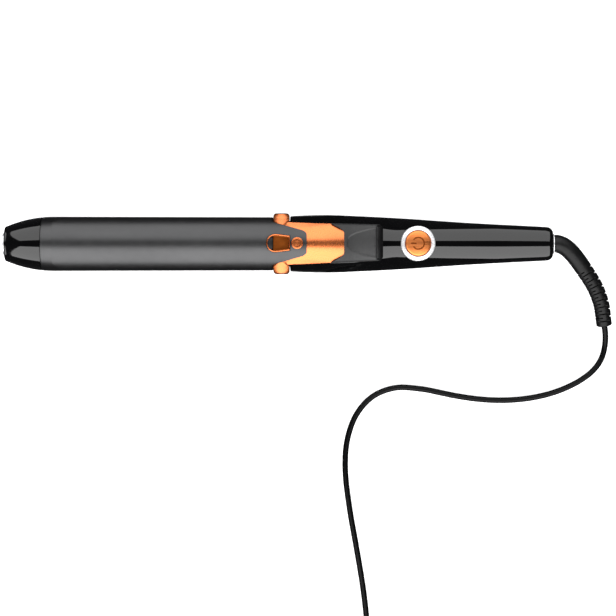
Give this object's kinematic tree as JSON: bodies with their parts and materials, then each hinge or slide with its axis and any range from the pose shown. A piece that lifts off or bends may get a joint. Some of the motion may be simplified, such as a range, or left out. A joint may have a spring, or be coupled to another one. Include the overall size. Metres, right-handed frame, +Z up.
{
  "type": "curling iron",
  "caption": "Curling iron with a spring clamp and thumb lever, a round power button, a flip-out stand and a swivel mains cord with a plug.",
  "frame": {"origin": "under the middle of the iron's length, on the surface it lies on, without the cord's pieces", "axes": "+X from the barrel's tip to the handle's end, +Z up through the clamp and the power button"},
  "size_m": [0.3631, 0.3095, 0.0482],
  "materials": {
    "satin_grey": "satin grey coating on metal",
    "gloss_black": "gloss",
    "copper": "satin copper-orange metallic",
    "silver": "bright plated",
    "pad_grey": "soft matte",
    "rubber": "matte",
    "cord_black": "gloss cable sheath",
    "steel": "plain",
    "heater_aluminium": "extruded",
    "brass": "plain",
    "ceramic": "matte",
    "board_green": "solder mask",
    "dark_plastic": "fine texture",
    "lead_red": "satin"
  },
  "bodies": {
    "iron": {"tip_cap": "gloss_black", "tip_disc": "silver", "barrel_tube": "satin_grey", "barrel_collar": "dark_plastic", "heater_shell_upper": "heater_aluminium", "heater_shell_lower": "heater_aluminium", "ptc_heater": "ceramic", "heater_spring": "steel", "temperature_sensor": "dark_plastic", "thermal_fuse": "steel", "heater_lead_live": "lead_red", "heater_lead_neutral": "dark_plastic", "handle_upper": "gloss_black", "handle_lower": "gloss_black", "handle_screw_1": "steel", "handle_screw_2": "steel", "handle_screw_3": "steel", "stand_pin": "steel", "pivot_pin_left": "steel", "pivot_pin_right": "steel", "clamp_spring": "steel", "button_ring": "silver", "button_spring": "steel", "circuit_board": "board_green", "tact_switch": "dark_plastic", "capacitor": "lead_red", "triac": "dark_plastic", "terminal_block": "ceramic", "contact_live": "brass", "contact_neutral": "brass", "contact_holder": "dark_plastic", "cord_lead": "cord_black", "cord_coil": "cord_black", "cord_tail": "cord_black", "cord_tie": "rubber", "plug_relief": "rubber", "plug_body": "gloss_black", "plug_pin_1": "brass", "plug_pin_2": "brass"},
    "clamp": {"clamp_spoon": "satin_grey", "lever": "copper", "thumb_pad": "pad_grey", "clamp_stud": "copper"},
    "power_button": {"power_button": "copper"},
    "stand": {"stand": "dark_plastic"},
    "cord_swivel": {"swivel_spindle": "dark_plastic", "swivel_collar": "silver", "slip_ring_live": "brass", "slip_ring_neutral": "brass", "strain_relief": "rubber"}
  },
  "joints": [
    {"name": "clamp_hinge", "type": "hinge", "parent": "iron", "child": "clamp", "pos_m": [0.0019, 0, 0.0161], "axis": [0, 1, 0], "range_deg": [0, 11], "stiffness_Nm_per_rad": 0.5, "springref_deg": -28.65, "deforming": ["clamp_spring"]},
    {"name": "button_press", "type": "slide", "parent": "iron", "child": "power_button", "axis": [-0.0872, 0, -0.9962], "range_m": [0, 0.0008], "stiffness_N_per_m": 600, "springref_m": -0.002, "deforming": ["button_spring"]},
    {"name": "stand_hinge", "type": "hinge", "parent": "iron", "child": "stand", "pos_m": [0.013, 0, 0.0035], "axis": [0, 1, 0], "range_deg": [0, 80]},
    {"name": "cord_swivel_turn", "type": "hinge", "parent": "iron", "child": "cord_swivel", "pos_m": [0.15, 0, 0.0161], "axis": [-1, 0, 0], "continuous": true}
  ]
}
